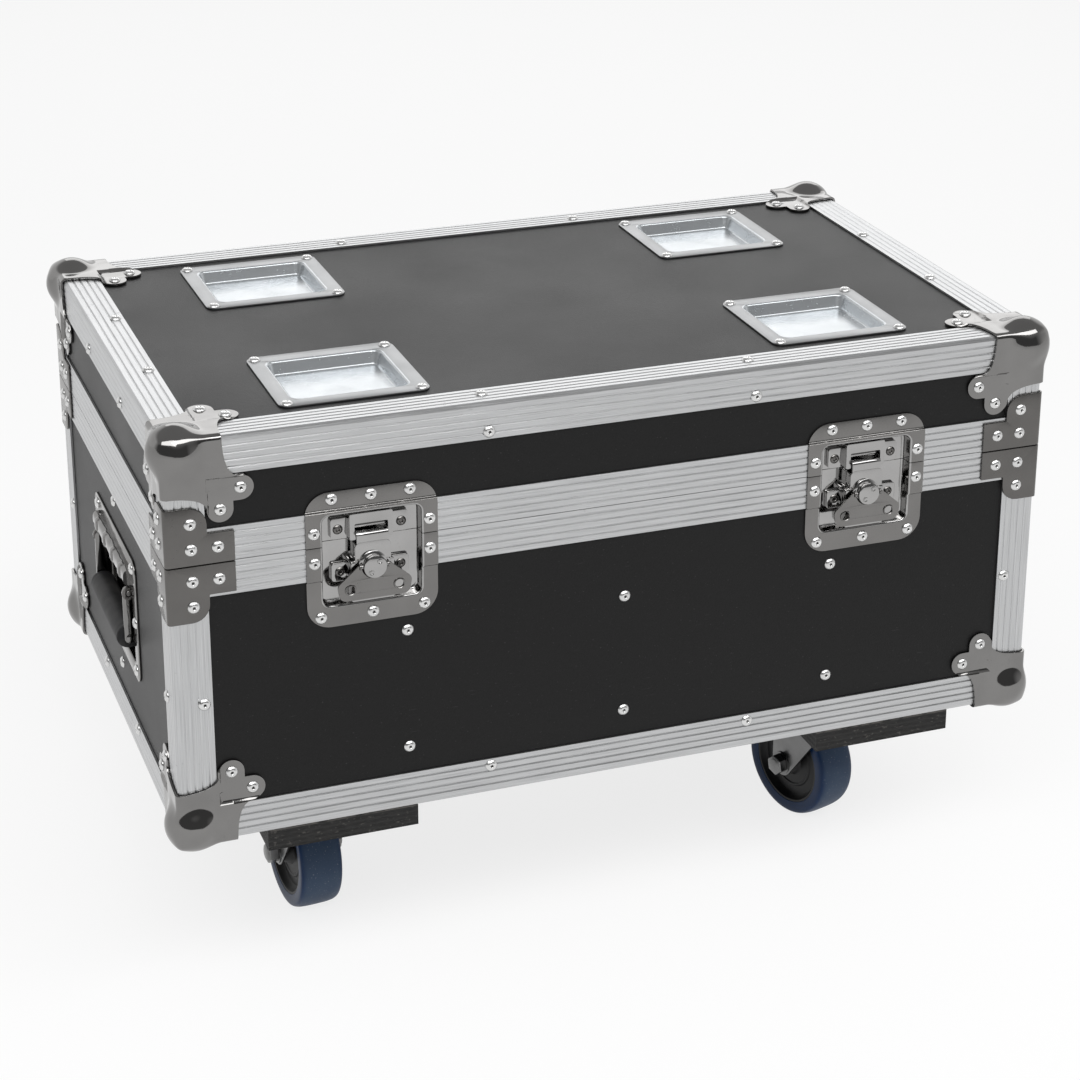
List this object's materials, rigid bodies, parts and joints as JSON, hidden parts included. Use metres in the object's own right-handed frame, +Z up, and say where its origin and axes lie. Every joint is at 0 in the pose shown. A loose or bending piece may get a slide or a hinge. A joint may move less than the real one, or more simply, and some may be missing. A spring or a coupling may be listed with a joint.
{
  "type": "wheeled flight case",
  "caption": "Black laminate flight case with ribbed aluminium edges, ball corners, butterfly latches, sprung side handles, hinged lid, divided inside and swivel castors.",
  "frame": {"origin": "on the floor, under the middle of the case", "axes": "+X to the right as one faces the latches, +Y to the back of the case, +Z up; the latches face -Y"},
  "size_m": [0.754, 0.459, 0.4895],
  "materials": {
    "laminate": "satin black laminate on plywood",
    "aluminium": "extruded, ribbed and anodised",
    "nickel": "bright nickel-plated pressed steel",
    "zinc": "bright zinc-plated pressed steel",
    "black_wood": "black-stained plywood",
    "plywood": "plain birch plywood",
    "black_rubber": "matt moulded rubber",
    "blue_tyre": "blue elastic rubber tyre on a black plastic core"
  },
  "bodies": {
    "base": {"base_shell": "laminate", "base_edge_frame": "aluminium", "divider_grid": "plywood", "base_ball_corner_front_left": "nickel", "base_ball_corner_front_right": "nickel", "base_ball_corner_rear_right": "nickel", "base_ball_corner_rear_left": "nickel", "base_brace_front_left": "nickel", "base_brace_front_right": "nickel", "base_brace_rear_right": "nickel", "base_brace_rear_left": "nickel", "castor_board_left": "black_wood", "castor_board_right": "black_wood", "castor_plate_front_left": "zinc", "castor_plate_front_right": "zinc", "castor_plate_rear_right": "zinc", "castor_plate_rear_left": "zinc", "handle_dish_left": "nickel", "handle_dish_right": "nickel", "latch_dish_left": "nickel", "latch_dish_right": "nickel", "hinge_base_leaf_left": "zinc", "hinge_base_leaf_right": "zinc"},
    "lid": {"lid_shell": "laminate", "lid_edge_frame": "aluminium", "lid_ball_corner_front_left": "nickel", "lid_ball_corner_front_right": "nickel", "lid_ball_corner_rear_right": "nickel", "lid_ball_corner_rear_left": "nickel", "lid_brace_front_left": "nickel", "lid_brace_front_right": "nickel", "lid_brace_rear_right": "nickel", "lid_brace_rear_left": "nickel", "castor_cup_front_left": "zinc", "castor_cup_front_right": "zinc", "castor_cup_rear_right": "zinc", "castor_cup_rear_left": "zinc", "latch_keeper_left": "nickel", "latch_keeper_right": "nickel", "hinge_lid_leaf_left": "zinc", "hinge_lid_leaf_right": "zinc"},
    "latch_drum_left": {"latch_drum_left": "nickel"},
    "latch_wing_left": {"latch_wing_left": "nickel"},
    "latch_claw_left": {"latch_claw_left": "nickel"},
    "latch_drum_right": {"latch_drum_right": "nickel"},
    "latch_wing_right": {"latch_wing_right": "nickel"},
    "latch_claw_right": {"latch_claw_right": "nickel"},
    "handle_left": {"handle_bail_left": "nickel", "handle_grip_left": "black_rubber"},
    "handle_right": {"handle_bail_right": "nickel", "handle_grip_right": "black_rubber"},
    "castor_fork_front_left": {"castor_fork_front_left": "zinc"},
    "castor_wheel_front_left": {"castor_wheel_front_left": "blue_tyre"},
    "castor_fork_front_right": {"castor_fork_front_right": "zinc"},
    "castor_wheel_front_right": {"castor_wheel_front_right": "blue_tyre"},
    "castor_fork_rear_right": {"castor_fork_rear_right": "zinc"},
    "castor_wheel_rear_right": {"castor_wheel_rear_right": "blue_tyre"},
    "castor_fork_rear_left": {"castor_fork_rear_left": "zinc"},
    "castor_wheel_rear_left": {"castor_wheel_rear_left": "blue_tyre"}
  },
  "joints": [
    {"name": "lid_hinge", "type": "hinge", "parent": "base", "child": "lid", "pos_m": [0, 0.2245, 0.3805], "axis": [-1, 0, 0], "range_deg": [0, 95]},
    {"name": "latch_turn_left", "type": "hinge", "parent": "base", "child": "latch_drum_left", "pos_m": [-0.2075, -0.2205, 0.3615], "axis": [0, -1, 0], "range_deg": [0, 180]},
    {"name": "latch_fold_left", "type": "hinge", "parent": "latch_drum_left", "child": "latch_wing_left", "pos_m": [-0.2075, -0.2252, 0.3615], "axis": [-1, 0, 0], "range_deg": [0, 90]},
    {"name": "latch_claw_slide_left", "type": "slide", "parent": "base", "child": "latch_claw_left", "axis": [0, -0.5274, 0.8496], "range_m": [0, 0.00683]},
    {"name": "latch_turn_right", "type": "hinge", "parent": "base", "child": "latch_drum_right", "pos_m": [0.2075, -0.2205, 0.3615], "axis": [0, -1, 0], "range_deg": [0, 180]},
    {"name": "latch_fold_right", "type": "hinge", "parent": "latch_drum_right", "child": "latch_wing_right", "pos_m": [0.2075, -0.2252, 0.3615], "axis": [-1, 0, 0], "range_deg": [0, 90]},
    {"name": "latch_claw_slide_right", "type": "slide", "parent": "base", "child": "latch_claw_right", "axis": [0, -0.5274, 0.8496], "range_m": [0, 0.00683]},
    {"name": "handle_swing_left", "type": "hinge", "parent": "base", "child": "handle_left", "pos_m": [-0.3662, 0, 0.291], "axis": [0, 1, 0], "range_deg": [0, 90], "stiffness_Nm_per_rad": 0.1},
    {"name": "handle_swing_right", "type": "hinge", "parent": "base", "child": "handle_right", "pos_m": [0.3662, 0, 0.291], "axis": [0, -1, 0], "range_deg": [0, 90], "stiffness_Nm_per_rad": 0.1},
    {"name": "castor_swivel_front_left", "type": "hinge", "parent": "base", "child": "castor_fork_front_left", "pos_m": [-0.2336, -0.127, 0.12], "axis": [0, 0, 1], "continuous": true},
    {"name": "castor_roll_front_left", "type": "hinge", "parent": "castor_fork_front_left", "child": "castor_wheel_front_left", "pos_m": [-0.23665, -0.08912, 0.05], "axis": [0.9968, 0.0802, 0], "continuous": true},
    {"name": "castor_swivel_front_right", "type": "hinge", "parent": "base", "child": "castor_fork_front_right", "pos_m": [0.2336, -0.127, 0.12], "axis": [0, 0, 1], "continuous": true},
    {"name": "castor_roll_front_right", "type": "hinge", "parent": "castor_fork_front_right", "child": "castor_wheel_front_right", "pos_m": [0.22274, -0.09058, 0.05], "axis": [0.9583, 0.2857, 0], "continuous": true},
    {"name": "castor_swivel_rear_right", "type": "hinge", "parent": "base", "child": "castor_fork_rear_right", "pos_m": [0.2336, 0.127, 0.12], "axis": [0, 0, 1], "continuous": true},
    {"name": "castor_roll_rear_right", "type": "hinge", "parent": "castor_fork_rear_right", "child": "castor_wheel_rear_right", "pos_m": [0.20005, 0.14484, 0.05], "axis": [0.4695, 0.8829, 0], "continuous": true},
    {"name": "castor_swivel_rear_left", "type": "hinge", "parent": "base", "child": "castor_fork_rear_left", "pos_m": [-0.2336, 0.127, 0.12], "axis": [0, 0, 1], "continuous": true},
    {"name": "castor_roll_rear_left", "type": "hinge", "parent": "castor_fork_rear_left", "child": "castor_wheel_rear_left", "pos_m": [-0.2102, 0.15694, 0.05], "axis": [0.788, -0.6157, 0], "continuous": true}
  ],
  "couplings": [
    {"joint": "latch_fold_left", "follows": "latch_turn_left", "ratio": 0.5},
    {"joint": "latch_claw_slide_left", "follows": "latch_turn_left", "m_per_rad": 0.002173},
    {"joint": "latch_fold_right", "follows": "latch_turn_right", "ratio": 0.5},
    {"joint": "latch_claw_slide_right", "follows": "latch_turn_right", "m_per_rad": 0.002173}
  ]
}
